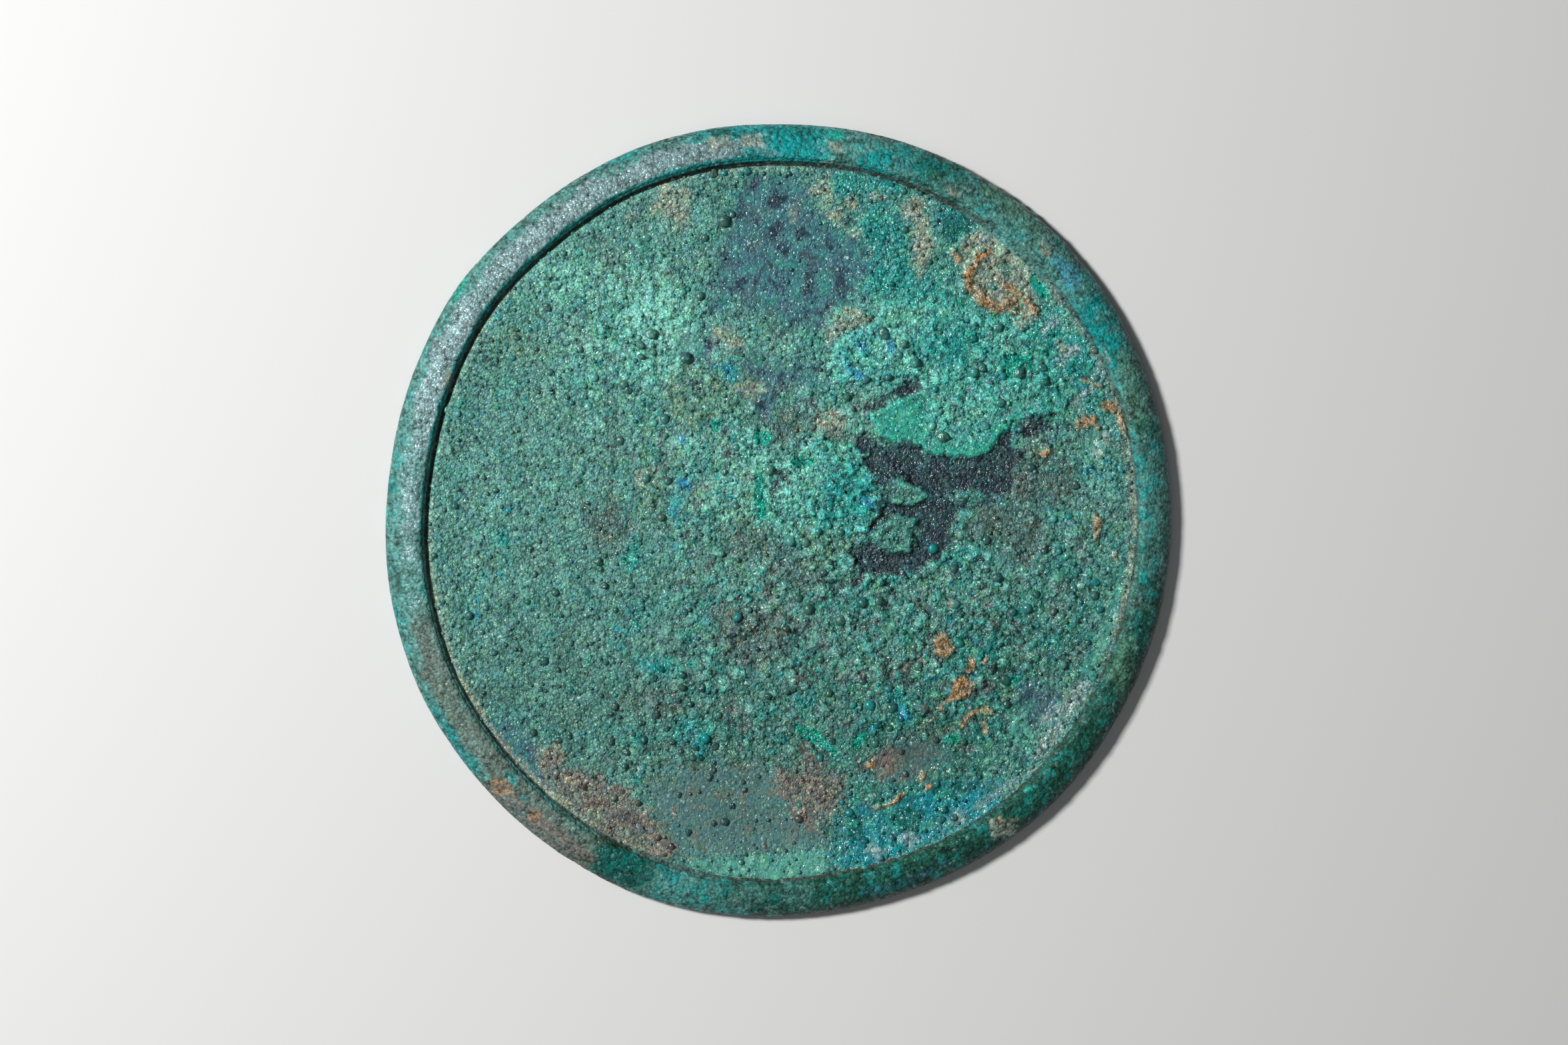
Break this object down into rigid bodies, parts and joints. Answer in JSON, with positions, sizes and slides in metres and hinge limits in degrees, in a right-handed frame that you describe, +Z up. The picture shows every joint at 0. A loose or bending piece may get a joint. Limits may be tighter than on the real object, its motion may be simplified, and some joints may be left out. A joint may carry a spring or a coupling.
{
  "type": "bronze disc mirror",
  "caption": "Round cast bronze disc mirror with a raised rounded rim, a sunken field and a flat plain face, thickly covered in green corrosion.",
  "frame": {"origin": "on the underside, below the middle of the disc's outline box", "axes": "+Z up out of the rimmed side, +X and +Y in the plane of the disc"},
  "size_m": [0.1498, 0.1494, 0.0056],
  "materials": {
    "patinated_bronze": "matt green corrosion crust, dark glossy warts, tan and blue patches"
  },
  "bodies": {
    "root": {"mirror_disc": "patinated_bronze"}
  },
  "joints": []
}
